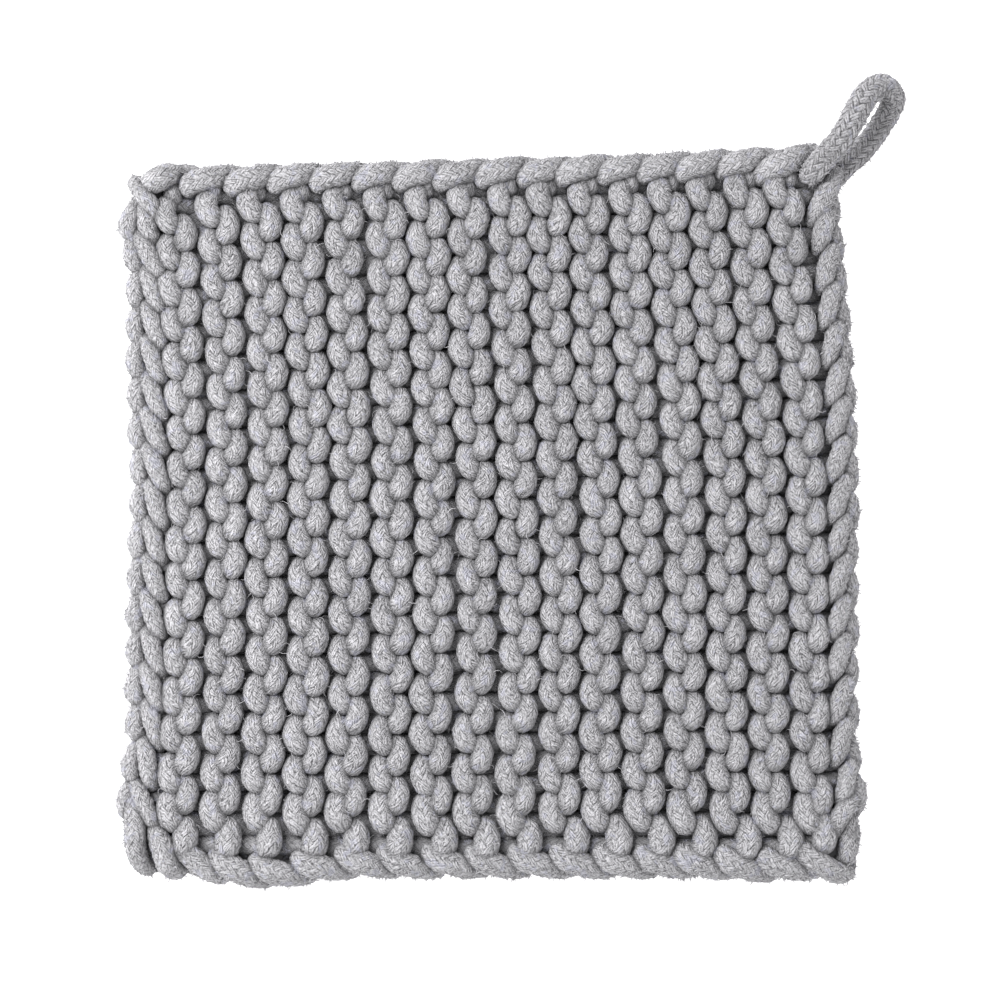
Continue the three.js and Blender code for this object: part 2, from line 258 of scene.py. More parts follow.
class CoasterKnit(bpy.types.PropertyGroup):
    """Sizes of the knitting"""

    ridges: bpy.props.IntProperty(
        name="Ridges", description="Ridges of garter stitch, side by side", default=16, min=2
    )
    stitches: bpy.props.IntProperty(
        name="Stitches", description="Stitches along a ridge", default=17, min=2
    )
    thickness: bpy.props.FloatProperty(
        name="Thickness",
        description="Height of the ridges above the table",
        default=0.0138,
        unit="LENGTH",
    )
    cord: bpy.props.FloatProperty(
        name="Cord",
        description="Diameter of the cord where it is plump",
        default=0.0065,
        unit="LENGTH",
    )
    leg: bpy.props.FloatProperty(
        name="Pressed cord",
        description="Diameter of the cord where it is pressed inside the knitting",
        default=0.0049,
        unit="LENGTH",
    )
    reach: bpy.props.FloatProperty(
        name="Reach",
        description="How far a loop reaches to each side of its row",
        default=0.0057,
        unit="LENGTH",
    )


class CoasterYarn(bpy.types.PropertyGroup):
    """Colours of the cotton"""

    light: bpy.props.FloatVectorProperty(
        name="Cotton",
        description="Colour of the cotton in the light",
        subtype="COLOR",
        default=(0.68, 0.67, 0.70),
    )
    # Painted shade: this colour is painted in the gaps between the plaits and their threads and in the
    # creases.
    shade_colour: bpy.props.FloatVectorProperty(
        name="Cotton in the creases",
        description="Colour of the cotton between its plaits",
        subtype="COLOR",
        default=(0.115, 0.113, 0.12),
    )
    hairs: bpy.props.IntProperty(
        name="Hairs",
        description="Number of loose fibres, of which each group takes its share",
        default=8500,
        min=0,
    )


class CoasterStage(bpy.types.PropertyGroup):
    """Camera above the table"""

    height: bpy.props.FloatProperty(
        name="Camera height",
        description="Height of the camera above the table",
        default=1.3,
        unit="LENGTH",
    )
    across: bpy.props.FloatProperty(
        name="Picture width",
        description="Width of the table that the picture shows",
        default=0.2705,
        unit="LENGTH",
    )


# Shape of the square


def hump(t, at, reach, height=1.0):
    return height * np.exp(-(((t - at) / reach) ** 2))


def ramp(value, start, length):
    """Zero up to the start, and one from a length past it."""
    return np.clip((value - start) / length, 0, 1)


def swell(side, t):
    return sum(hump(t, at, reach, depth) for name, at, reach, depth in SWELLS if name == side)


def left_rim(y):
    return LEFT_RIM - swell("left", y)


def right_rim(y):
    t = np.clip((RIGHT_TAPER_LENGTH - y) / RIGHT_TAPER_LENGTH, 0, 1)
    return RIGHT_RIM - RIGHT_TAPER * (1 - t) ** 2 + swell("right", y)


def front_rim(x):
    return FRONT_RIM - swell("front", x)


def back_rim(x):
    t = ramp(x, BACK_RISE_FROM, BACK_RISE_LENGTH)
    return BACK_RIM + BACK_RIM_RISE * t**BACK_RISE_POWER + swell("back", x)


def valley_x(index, y, ridges):
    """Place across of the valley before a ridge."""
    t = index / ridges
    wave = sum(amount * np.sin(rate * y + step * index) for amount, rate, step in VALLEY_WAVER)
    left = -FIELD_HALF_WIDTH - FIELD_WAIST * (y / FIELD_HALF_LENGTH) ** 2
    right = FIELD_HALF_WIDTH + FIELD_RIGHT_EXTRA - FIELD_SHOULDER * np.maximum(0, y) ** 2
    return left * (1 - t) + right * t + wave * math.sin(math.pi * min(max(t, 0), 1))


def half_stitch_y(level, x, stitches):
    """Place along of a line of half stitches, counted from the front."""
    s = x / FIELD_SPAN
    far = FIELD_BACK + s + FIELD_BACK_BEND * s**3 - hump(x, *FIELD_BACK_DIP)
    near = FIELD_FRONT - FIELD_FRONT_LEAN * s
    t = level / (2 * stitches - 2)
    return near + (far - near) * (t * (1 + PITCH_GROWTH) - PITCH_GROWTH * t * t)


def crept(x, y):
    """Where the stitch of a place has crept to."""
    u, v = x / CREEP_SPAN, y / CREEP_SPAN
    sideways = sum(k * u**i for i, k in enumerate(CREEP_AT_BACK)) * hump(y, *CREEP_BACK_Y)
    sideways = sideways + hump(y, *CREEP_AT_FRONT)
    sideways = sideways + hump(x, *CREEP_AT_CORNER) * hump(y, *CREEP_CORNER_Y)
    lengthways = 0.0
    for i, j, across, along in CREEP:
        sideways = sideways + across * u**i * v**j
        lengthways = lengthways + along * u**i * v**j
    return x + sideways, y + lengthways


def smooth_noise(rng, t, amount):
    """Random offset that changes gently from stitch to stitch."""
    knots = rng.uniform(-amount, amount, int(math.ceil(t.max() - t.min())) + 3)
    u = t - t.min()
    i = np.floor(u).astype(int)
    f = u - i
    f = f * f * (3 - 2 * f)
    return knots[i] * (1 - f) + knots[i + 1] * f


def row_path(knit, ridge, high, rng):
    """Middle line and radius of one row of knitting.

    A high row shows its loops' heads on the upper face, on the right of the ridge.
    A low row shows the turns between its loops there, on the left of the ridge.
    """
    count = knit.stitches
    first, last = (HEAD_END, count - HEAD_END) if high else (TURN_START, count - TURN_END)
    t = np.arange(round(first * ROW_STEPS), round(last * ROW_STEPS) + 1) / ROW_STEPS
    turn = 2 * math.pi * t
    level = (2 * (t - 0.5) if high else 2 * t + 1) + BUMP_HURRY * np.sin(2 * turn)
    middle = float(valley_x(ridge + 0.5, 0.0, knit.ridges))
    y = half_stitch_y(level, middle, count)
    here, after = valley_x(ridge, y, knit.ridges), valley_x(ridge + 1, y, knit.ridges)
    pitch = after - here
    thick = knit.thickness / MM
    plump = knit.cord / MM / 2
    leg = knit.leg / MM / 2
    side = -1 if high else 1
    swing = np.cos(turn)
    front = (1 + side * swing) / 2
    bow = 1 - BUMP_BOW * (1 - swing**2)
    sideways = np.tanh(BUMP_SQUARE * swing) / math.tanh(BUMP_SQUARE) * bow
    x = (here + after) / 2 + side * CLOSE * pitch / 4 - knit.reach / MM * sideways
    x -= (HEAD_SKEW if high else TURN_SKEW) * np.sin(turn) * front
    rise = np.cos(turn + BUMP_LEAN)
    depth = (thick - 2 * plump - FACE_GAP) / 2
    z = thick / 2 + side * depth * np.sign(rise) * np.sin(math.pi / 2 * np.abs(rise) ** BUMP_DIVE)
    z -= BUMP_TILT * side * np.sin(turn) * front
    y = y - BUMP_DROP * front + smooth_noise(rng, t, STRAY_ALONG)
    x = x + smooth_noise(rng, t + 0.5, STRAY_ACROSS)
    z = z + smooth_noise(rng, t, STRAY_UP) - ROW_SINK
    radius = leg + (plump - leg) * np.abs(swing) ** PLUMP_POWER + smooth_noise(rng, t, STRAY_RADIUS)
    x, y = crept(x, y)
    y += hump(y, *RIGHT_RISE) * ramp(middle, RIGHT_RISE_FROM, RIGHT_RISE_RAMP)
    for at_x, at_y, wide, far, across, along in NUDGES:
        share = hump(middle, at_x, wide) * hump(y, at_y, far)
        x, y = x + across * share, y + along * share
    if high:
        pull = hump(t, *FIRST_HEAD)
        lean = np.where(t < FIRST_HEAD[0], *FIRST_HEAD_LEAN) * (FIRST_HEAD[0] - t)
        x += pull * (FIRST_HEAD_ACROSS + FIRST_HEAD_GROWTH * middle + lean)
        y -= FIRST_HEAD_DROP * pull
        if ridge == knit.ridges - 1:
            x += LAST_RIDGE_SHIFT[0] * pull
            y += LAST_RIDGE_SHIFT[1] * pull
        radius += hump(np.mod(t, 1.0), *HEAD_BULGE)
        radius += FIRST_HEAD_SWELL * pull + hump(t, *FIRST_HEAD_BULGE)
    else:
        pull = hump(t, *FIRST_TURN)
        x += FIRST_TURN_SHIFT[0] * pull
        y += FIRST_TURN_SHIFT[1] * pull
        radius += FIRST_TURN_SWELL * pull
    z = np.maximum(z, radius + CLEAR_OF_TABLE)
    return np.column_stack([x, y, z]), radius


def through(points, radii, steps):
    """Smooth line through a few points, with the radius eased along it."""
    q = np.column_stack([points, radii])
    q = np.vstack([2 * q[0] - q[1], q, 2 * q[-1] - q[-2]])
    out = []
    for a, b, c, d in zip(q, q[1:], q[2:], q[3:]):
        for u in (s / steps for s in range(steps)):
            square = (2 * a - 5 * b + 4 * c - d) * u * u
            cube = (3 * b - a - 3 * c + d) * u**3
            out.append(0.5 * (2 * b + (c - a) * u + square + cube))
    out = np.array([*out, q[-2]])
    return out[:, :3], out[:, 3]


# Meshes and trees


def linked(name, data):
    """Object in the scene that holds a mesh, a lamp or a camera."""
    obj = bpy.data.objects.new(name, data)
    bpy.context.scene.collection.objects.link(obj)
    return obj


def store(mesh, label, values):
    """Store a number at each point of a mesh."""
    attribute = mesh.attributes.new(label, "FLOAT", "POINT")
    attribute.data.foreach_set("value", values.astype(np.float32))


def drop(mesh, *labels):
    """Remove the named attributes that a mesh has."""
    for label in labels:
        if label in mesh.attributes:
            mesh.attributes.remove(mesh.attributes[label])


def vectors(mesh, kind):
    """Places or normals of a mesh's points, one in each row."""
    values = np.empty(3 * len(mesh.vertices), np.float32)
    mesh.vertices.foreach_get(kind, values)
    return values.reshape(-1, 3)


def capped(points, radius):
    """Points and radii of a cord, with a round cap of two more points at each end."""

    def cap(end, inner, size):
        step = end - inner
        tip = end + step / np.linalg.norm(step) * CAP_REACH * size
        return tip, end * (1 - CAP_EASE) + tip * CAP_EASE

    head, near_head = cap(points[0], points[1], radius[0])
    tail, near_tail = cap(points[-1], points[-2], radius[-1])
    sizes = ([CAP_POINT], [CAP_SHOULDER * radius[0]], radius, [CAP_SHOULDER * radius[-1]], [CAP_POINT])
    return np.vstack([head, near_head, points, near_tail, tail]), np.concatenate(sizes)


def line_object(name, paths):
    """Mesh of loose lines, one for each path, that a tree turns into cord."""
    lines = [capped(points, radius) for points, radius in paths]
    edges, start = [], 0
    for points, radius in lines:
        steps = np.arange(start, start + len(points))
        edges.append(np.column_stack([steps[:-1], steps[1:]]))
        start += len(points)
    mesh = bpy.data.meshes.new(name)
    verts = np.vstack([points for points, radius in lines]) * MM
    mesh.from_pydata(verts.tolist(), np.vstack(edges).tolist(), [])
    store(mesh, "cord_radius", np.concatenate([radius for points, radius in lines]) * MM)
    store(mesh, "cord_number", np.repeat(np.arange(len(lines)), [len(radius) for points, radius in lines]))
    return linked(name, mesh)


def new_tree(name, inputs):
    """Geometry tree with a geometry input, the given inputs and a geometry output."""
    tree = bpy.data.node_groups.new(name, "GeometryNodeTree")
    tree.interface.new_socket("Geometry", in_out="INPUT", socket_type="NodeSocketGeometry")
    for label, kind, value in inputs:
        socket = tree.interface.new_socket(label, in_out="INPUT", socket_type=kind)
        if value is not None:
            socket.default_value = value
    tree.interface.new_socket("Geometry", in_out="OUTPUT", socket_type="NodeSocketGeometry")
    return tree, tree.nodes.new("NodeGroupInput")


def add(tree, kind, links=None, values=None, **settings):
    """Node with its settings, its linked inputs and its constant inputs."""
    node = tree.nodes.new(kind)
    for key, value in settings.items():
        setattr(node, key, value)
    for key, value in (values or {}).items():
        node.inputs[key].default_value = value
    for key, socket in (links or {}).items():
        tree.links.new(socket, node.inputs[key])
    return node


def math_node(tree, operation, a, b=None, c=None):
    """Result of a calculation on one to three values, each a number or a socket."""
    node = add(tree, "ShaderNodeMath", operation=operation)
    for i, value in enumerate((a, b, c)):
        if isinstance(value, (int, float)):
            node.inputs[i].default_value = value
        elif value is not None:
            tree.links.new(value, node.inputs[i])
    return node.outputs[0]


def named(tree, label):
    """The value that a geometry has stored under a name."""
    node = add(tree, "GeometryNodeInputNamedAttribute", None, {"Name": label}, data_type="FLOAT")
    return node.outputs["Attribute"]


def stored(tree, geometry, label, value, data_type="FLOAT", domain="POINT"):
    """The geometry with a value stored on it under a name."""
    node = add(
        tree,
        "GeometryNodeStoreNamedAttribute",
        {"Geometry": geometry},
        {"Name": label},
        data_type=data_type,
        domain=domain,
    )
    tree.links.new(value, node.inputs["Value"])
    return node.outputs["Geometry"]


def end_tree(tree, geometry, material):
    """End a tree in real geometry of one material."""
    real = add(tree, "GeometryNodeRealizeInstances", {"Geometry": geometry})
    painted = add(
        tree,
        "GeometryNodeSetMaterial",
        {"Geometry": real.outputs["Geometry"], "Material": material},
    )
    add(tree, "NodeGroupOutput", {"Geometry": painted.outputs["Geometry"]})
    return tree


def cord_tree():
    """Round cord along the lines of a mesh, with a map that runs along and around it."""
    name = "cord_along_lines"
    if name in bpy.data.node_groups:
        return bpy.data.node_groups[name]
    tree, given = new_tree(
        name,
        (
            ("Sides", "NodeSocketInt", 12),
            ("Map length", "NodeSocketFloat", MAP_LENGTH),
            ("Plaits around", "NodeSocketFloat", LOOP_PLAITS[0]),
            ("Plaits along", "NodeSocketFloat", LOOP_PLAITS[1]),
            ("Relief", "NodeSocketFloat", 0.0),
            ("Rough", "NodeSocketFloat", 0.0),
            ("Material", "NodeSocketMaterial", None),
        ),
    )
    calc = partial(math_node, tree)
    curve = add(tree, "GeometryNodeMeshToCurve", {"Mesh": given.outputs["Geometry"]})
    length = add(tree, "GeometryNodeSplineParameter").outputs["Length"]
    ring = add(
        tree,
        "GeometryNodeCurveArc",
        {"Resolution": calc("ADD", given.outputs["Sides"], 1.0)},
        {"Radius": 1.0, "Sweep Angle": 2 * math.pi},
        mode="RADIUS",
    )
    factor = add(tree, "GeometryNodeSplineParameter").outputs["Factor"]
    tube = add(
        tree,
        "GeometryNodeCurveToMesh",
        {
            "Curve": stored(tree, curve.outputs["Curve"], "along", length),
            "Profile Curve": stored(tree, ring.outputs["Curve"], "around", factor),
            "Scale": named(tree, "cord_radius"),
        },
    )
    around = named(tree, "around")
    along = calc("DIVIDE", named(tree, "along"), given.outputs["Map length"])
    pair = add(tree, "ShaderNodeCombineXYZ", {"X": around, "Y": along})
    mapped = stored(tree, tube.outputs["Mesh"], "UVMap", pair.outputs[0], "FLOAT2", "CORNER")

    # The plaits and the lumps of the cord lift its surface, but not into the table.
    place = add(tree, "GeometryNodeInputPosition").outputs[0]
    braid = braid_at(
        tree,
        place,
        calc("MULTIPLY", around, given.outputs["Plaits around"]),
        calc("MULTIPLY", along, given.outputs["Plaits along"]),
        LOOSEST - LOOP_CRISP,
    )
    lift = calc("MULTIPLY", calc("SUBTRACT", braid["plait"], 0.6), given.outputs["Relief"])
    lifted = stored(tree, mapped, "lift", lift)
    merged = add(tree, "GeometryNodeMergeByDistance", {"Geometry": lifted}, {"Distance": MERGE_REACH})
    lumps = calc("MULTIPLY", calc("SUBTRACT", noise_at(tree, place, 720.0, 2.0), 0.5), 4.0)
    height = calc("MULTIPLY_ADD", lumps, given.outputs["Rough"], named(tree, "lift"))
    normal = add(tree, "GeometryNodeInputNormal").outputs[0]
    offset = add(tree, "ShaderNodeVectorMath", {0: normal, "Scale": height}, operation="SCALE")
    target = add(tree, "ShaderNodeVectorMath", {0: place, 1: offset.outputs[0]}, operation="ADD")
    above = add(
        tree,
        "ShaderNodeVectorMath",
        {0: target.outputs[0]},
        {1: (-1.0, -1.0, ABOVE_TABLE)},
        operation="MAXIMUM",
    )
    moved = add(
        tree,
        "GeometryNodeSetPosition",
        {"Geometry": merged.outputs["Geometry"], "Position": above.outputs[0]},
    )
    smooth = add(tree, "GeometryNodeSetShadeSmooth", {"Geometry": moved.outputs["Geometry"]})
    return end_tree(tree, smooth.outputs["Geometry"], given.outputs["Material"])


def fibre_tree():
    """Short bent fibres that stand off a surface where its attribute fuzzy is above zero."""
    name = "loose_fibres"
    if name in bpy.data.node_groups:
        return bpy.data.node_groups[name]
    tree, given = new_tree(
        name,
        (
            ("Per area", "NodeSocketFloat", 1e5),
            ("Length", "NodeSocketFloat", 0.002),
            ("Thickness", "NodeSocketFloat", 0.0001),
            ("Bends", "NodeSocketInt", 2),
            ("Seed", "NodeSocketInt", 1),
            ("Material", "NodeSocketMaterial", None),
        ),
    )
    calc = partial(math_node, tree)
    seed, length = given.outputs["Seed"], given.outputs["Length"]
    roots = add(
        tree,
        "GeometryNodeDistributePointsOnFaces",
        {
            "Mesh": given.outputs["Geometry"],
            "Density": calc("MULTIPLY", named(tree, "fuzzy"), given.outputs["Per area"]),
            "Seed": seed,
        },
    )
    bend = add(
        tree,
        "GeometryNodeCurveQuadraticBezier",
        {"Resolution": given.outputs["Bends"]},
        {"Start": (0, 0, -0.1), "Middle": (0.15, 0.12, 0.6), "End": (0.75, -0.1, 0.5)},
    )
    ring = add(
        tree,
        "GeometryNodeCurvePrimitiveCircle",
        {"Radius": calc("DIVIDE", given.outputs["Thickness"], length)},
        {"Resolution": 3},
        mode="RADIUS",
    )
    along = add(tree, "GeometryNodeSplineParameter").outputs["Factor"]
    fibre = add(
        tree,
        "GeometryNodeCurveToMesh",
        {
            "Curve": bend.outputs["Curve"],
            "Profile Curve": ring.outputs["Curve"],
            "Scale": calc("MULTIPLY_ADD", along, -0.6, 1.0),
        },
        {"Fill Caps": True},
    )
    turn = add(
        tree,
        "FunctionNodeRandomValue",
        {"Seed": seed},
        {0: (-1.25, -1.25, 0.0), 1: (1.25, 1.25, 6.28)},
        data_type="FLOAT_VECTOR",
    )
    turned = add(
        tree,
        "FunctionNodeRotateRotation",
        {
            "Rotation": roots.outputs["Rotation"],
            "Rotate By": add(tree, "FunctionNodeEulerToRotation", {"Euler": turn.outputs[0]}).outputs[0],
        },
        rotation_space="LOCAL",
    )
    vary = add(tree, "FunctionNodeRandomValue", {"Seed": seed}, {2: 0.4, 3: 1.3}, data_type="FLOAT")
    placed = add(
        tree,
        "GeometryNodeInstanceOnPoints",
        {
            "Points": roots.outputs["Points"],
            "Instance": fibre.outputs["Mesh"],
            "Rotation": turned.outputs[0],
            "Scale": calc("MULTIPLY", vary.outputs[1], length),
        },
    )
    return end_tree(tree, placed.outputs["Instances"], given.outputs["Material"])


def grown(obj, tree, **values):
    """The object with its tree's result as a plain mesh."""
    modifier = obj.modifiers.new("tree", "NODES")
    modifier.node_group = tree
    for item in tree.interface.items_tree:
        if item.item_type == "SOCKET" and item.in_out == "INPUT":
            key = item.name.replace(" ", "_").lower()
            if key in values:
                modifier[item.identifier] = values[key]
    obj.update_tag()
    bpy.context.view_layer.update()
    graph = bpy.context.evaluated_depsgraph_get()
    mesh = bpy.data.meshes.new_from_object(obj.evaluated_get(graph), depsgraph=graph)
    obj.modifiers.remove(modifier)
    old = obj.data
    obj.data = mesh
    mesh.name = obj.name
    bpy.data.meshes.remove(old)
    drop(mesh, "along", "around", "cord_radius", "lift", "fuzzy")
    if not len(mesh.polygons):
        raise RuntimeError(obj.name + " came out empty")
    return obj


def cord_object(name, paths, material, sides=12, rough=0.25, relief=0.0):
    """Cord along each of the paths, with lumps and, where it has relief, raised plaits."""
    return grown(
        line_object(name, paths),
        cord_tree(),
        sides=sides,
        map_length=MAP_LENGTH,
        plaits_around=LOOP_PLAITS[0],
        plaits_along=LOOP_PLAITS[1],
        relief=relief * MM,
        rough=rough * MM,
        material=material,
    )


def fibres_on(name, pieces, count, length, thickness, bends, material, seed, fuzzy_at):
    """Loose fibres on some pieces, densest where fuzzy_at says."""
    verts, faces, start = [], [], 0
    for piece in pieces:
        verts.append(vectors(piece.data, "co"))
        faces += [[v + start for v in face.vertices] for face in piece.data.polygons]
        start += len(verts[-1])
    mesh = bpy.data.meshes.new(name)
    mesh.from_pydata(np.vstack(verts).tolist(), [], faces)
    fuzzy = fuzzy_at(np.vstack(verts) / MM, vectors(mesh, "normal")).astype(np.float32)
    store(mesh, "fuzzy", fuzzy)
    area = sum(face.area * float(fuzzy[list(face.vertices)].mean()) for face in mesh.polygons)
    return grown(
        linked(name, mesh),
        fibre_tree(),
        per_area=count / area,
        length=length,
        thickness=thickness,
        bends=bends,
        seed=seed,
        material=material,
    )


# Paths of the cords in each piece of the knitting, by the piece's name.
PATHS = {}


def mark_creases():
    """Store painted shade where the surface of each cord comes close to another cord, and on row strands
    deep between the ridges.
    """
    cords = [path for paths in PATHS.values() for path in paths]
    centres = np.vstack([points for points, radius in cords])
    radii = np.concatenate([radius for points, radius in cords])
    owner = np.repeat(np.arange(len(cords)), [len(radius) for points, radius in cords])
    cord = 0
    for name, paths in PATHS.items():
        mesh = bpy.data.objects[name].data
        places, ways = vectors(mesh, "co") / MM, vectors(mesh, "normal")
        numbers = np.empty(len(places), np.float32)
        mesh.attributes["cord_number"].data.foreach_get("value", numbers)
        numbers = np.rint(numbers).astype(int)
        crease = np.zeros(len(places), np.float32)
        for number in range(len(paths)):
            mine = np.flatnonzero(numbers == number)
            here = places[mine]
            low, high = here.min(axis=0) - CREASE_SEARCH, here.max(axis=0) + CREASE_SEARCH
            near = (owner != cord) & np.all((centres > low) & (centres < high), axis=1)
            cord += 1
            if near.any():
                other = centres[near]
                square = (here**2).sum(axis=1)[:, None] + (other**2).sum(axis=1)[None] - 2 * here @ other.T
                gap = (np.sqrt(np.maximum(square, 0)) - radii[near][None]).min(axis=1)
                crease[mine] = np.clip(1 - (gap + CREASE_IN) / CREASE_WIDTH, 0, 1)
        if name in ROWS:
            deep = np.clip((DEEP_TOP - places[:, 2]) / DEEP_FADE, 0, 1) * (ways[:, 2] > 0)
            crease = np.maximum(crease, DEEP_SHADE * deep)
        store(mesh, "crease", crease)
        drop(mesh, "cord_number")


# Materials


def shader(name, values):
    """New material with a shader of the given values."""
    material = bpy.data.materials.new(name)
    material.use_nodes = True
    tree = material.node_tree
    tree.nodes.clear()
    surface = add(tree, "ShaderNodeBsdfPrincipled", None, values)
    add(tree, "ShaderNodeOutputMaterial", {"Surface": surface.outputs[0]})
    return material, tree, surface


def mix_colour(tree, factor, a, b):
    """Colour between two colours, each a triple or a socket."""
    node = add(tree, "ShaderNodeMix", data_type="RGBA")
    for key, value in ((0, factor), (6, a), (7, b)):
        if isinstance(value, tuple):
            node.inputs[key].default_value = (*value, 1)
        else:
            tree.links.new(value, node.inputs[key])
    return node.outputs[2]


def noise_at(tree, vector, scale, detail=2.0, rough=0.5):
    values = {"Scale": scale, "Detail": detail, "Roughness": rough}
    return add(tree, "ShaderNodeTexNoise", {"Vector": vector}, values).outputs[0]


def weighted(tree, *terms):
    """Sum of values, each times its weight."""
    (first, weight), *others = terms
    total = math_node(tree, "MULTIPLY", first, weight)
    for value, weight in others:
        total = math_node(tree, "MULTIPLY_ADD", value, weight, total)
    return total


def braid_at(tree, place, around, along, loose):
    """Two over two braid, at a number of plaits around and along the cord.

    It gives the plaits' outline and that of their two threads.
    """
    calc = partial(math_node, tree)
    waver = calc("MULTIPLY", calc("SUBTRACT", noise_at(tree, place, 450.0, 2.0), 0.5), loose)
    sway = calc("MULTIPLY", calc("SUBTRACT", noise_at(tree, place, 170.0, 1.0), 0.5), loose)
    a, b = calc("ADD", around, waver), calc("ADD", along, sway)
    p, q = calc("ADD", a, b), calc("SUBTRACT", a, b)
    frac_p, frac_q = calc("FRACT", p), calc("FRACT", q)
    cell = calc("FLOORED_MODULO", calc("ADD", calc("FLOOR", p), calc("FLOOR", q)), 4.0)
    over = calc("LESS_THAN", cell, 1.5)
    under = calc("SUBTRACT", 1.0, over)

    def choose(first, second):
        return calc("ADD", calc("MULTIPLY", over, first), calc("MULTIPLY", under, second))

    def arch(value, power):
        return calc("POWER", calc("ABSOLUTE", calc("SINE", calc("MULTIPLY", value, math.pi))), power)

    across = choose(frac_p, frac_q)
    back = calc("ADD", calc("SUBTRACT", cell, 2.0), frac_p)
    lengthways = calc("MULTIPLY", choose(calc("ADD", cell, frac_q), back), 0.5)
    return {
        "p": p,
        "q": q,
        "along": b,
        "over": over,
        "choose": choose,
        "plait": calc("MULTIPLY", arch(across, 0.5), arch(lengthways, 0.4)),
        "thread": arch(calc("MULTIPLY", across, 2.0), 0.7),
    }


def braided_cotton(name, light, shade_colour, crisp, plaits):
    """Braided cotton cord: plaits of two threads that cross two over two, with fuzz."""
    values = {
        "Roughness": 0.92,
        "Specular IOR Level": 0.15,
        "Sheen Weight": 0.2,
        "Sheen Roughness": 0.55,
    }
    material, tree, surface = shader(name, values)
    calc = partial(math_node, tree)
    uv = add(tree, "ShaderNodeUVMap", uv_map="UVMap")
    split = add(tree, "ShaderNodeSeparateXYZ", {0: uv.outputs[0]})
    place = add(tree, "ShaderNodeTexCoord").outputs["Object"]
    braid = braid_at(
        tree,
        place,
        calc("MULTIPLY", split.outputs[0], plaits[0]),
        calc("MULTIPLY", split.outputs[1], plaits[1]),
        LOOSEST - crisp,
    )
    p, q, choose, plait, thread = (braid[key] for key in ("p", "q", "choose", "plait", "thread"))

    # Each thread has its own shade, and its fibres run along it.
    thread_number = calc("FLOOR", calc("MULTIPLY", choose(p, q), 2.0))
    length_number = calc("FLOOR", calc("MULTIPLY", braid["along"], 0.5))
    number = add(
        tree,
        "ShaderNodeCombineXYZ",
        {0: thread_number, 1: calc("MULTIPLY_ADD", braid["over"], 7.0, length_number)},
    )
    shade = add(tree, "ShaderNodeTexWhiteNoise", {"Vector": number.outputs[0]}, noise_dimensions="2D")

    def fibres(first, second):
        join = add(
            tree,
            "ShaderNodeCombineXYZ",
            {
                0: calc("MULTIPLY", first, 3.8),
                1: calc("MULTIPLY", second, 1.1),
                2: calc("MULTIPLY", noise_at(tree, place, 90.0, 1.0), 9.0),
            },
        )
        return noise_at(tree, join.outputs[0], 1.0, 3.0, 0.6)

    fibre = choose(fibres(p, q), fibres(q, p))
    fuzz = noise_at(tree, place, 1700.0, 3.0, 0.7)
    patch = noise_at(tree, place, 75.0, 2.0)
    shape = weighted(tree, (plait, 0.8 * crisp), (thread, 0.55 * crisp), (fibre, 1.5), (fuzz, 0.9))
    # The tone is partly painted shade, darker where plaits and threads meet, and partly the cotton's own
    # tone, which varies with its fibres, fuzz, patches and each thread.
    tone = weighted(
        tree,
        (plait, 0.30 * crisp),
        (thread, 0.46 * crisp),
        (shade.outputs["Value"], 0.2),
        (fibre, 2.3),
        (fuzz, 2.5),
        (patch, 0.4),
    )
    clamp = add(tree, "ShaderNodeClamp", {0: calc("SUBTRACT", tone, 2.05 + 0.50 * crisp)})
    colour = mix_colour(tree, clamp.outputs[0], shade_colour, light)

    # Painted shade: where cords touch or the surface lies deep, little light gets in, so the colour is
    # darkened towards the shade colour by ambient occlusion and by the stored crease shade.
    air = add(tree, "ShaderNodeAmbientOcclusion", None, {"Distance": 0.003}, samples=3)
    open_air = calc("MINIMUM", calc("MULTIPLY_ADD", air.outputs["AO"], 1.22, -0.06), 1.0)
    touch = add(tree, "ShaderNodeAttribute", attribute_name="crease")
    open_air = calc("MULTIPLY", open_air, calc("MULTIPLY_ADD", touch.outputs["Fac"], -CREASE_SHADE, 1.0))
    colour = mix_colour(tree, calc("MAXIMUM", open_air, 0.0), shade_colour, colour)

    # A few strands of the cotton are bluer.
    bluish = calc("MULTIPLY", calc("GREATER_THAN", noise_at(tree, place, 320.0, 2.0), 0.62), 0.35)
    blue = tuple(v * k for v, k in zip(light, (0.80, 0.82, 0.98)))
    tree.links.new(mix_colour(tree, bluish, colour, blue), surface.inputs["Base Color"])
    bump = add(tree, "ShaderNodeBump", {"Height": shape}, {"Strength": 1.0, "Distance": 0.0007})
    tree.links.new(bump.outputs[0], surface.inputs["Normal"])
    return material


def plain_fibre(name, colour):
    """Loose or pressed cotton, too fine for a braid."""
    material, tree, surface = shader(name, {"Roughness": 0.95, "Sheen Weight": 0.2})
    place = add(tree, "ShaderNodeTexCoord").outputs["Object"]
    noise = noise_at(tree, place, 900.0, 4.0)
    low = tuple(0.6 * v for v in colour)
    tree.links.new(mix_colour(tree, noise, low, colour), surface.inputs["Base Color"])
    bump = add(tree, "ShaderNodeBump", {"Height": noise}, {"Strength": 0.8, "Distance": 0.0006})
    tree.links.new(bump.outputs[0], surface.inputs["Normal"])
    return material


def cotton():
    """The material of the knitting, made at its first use."""
    look = bpy.context.scene.coaster_yarn
    name = "grey_braided_cotton"
    if name not in bpy.data.materials:
        braided_cotton(name, tuple(look.light), tuple(look.shade_colour), KNIT_CRISP, KNIT_PLAITS)
    return bpy.data.materials[name]


# Pieces


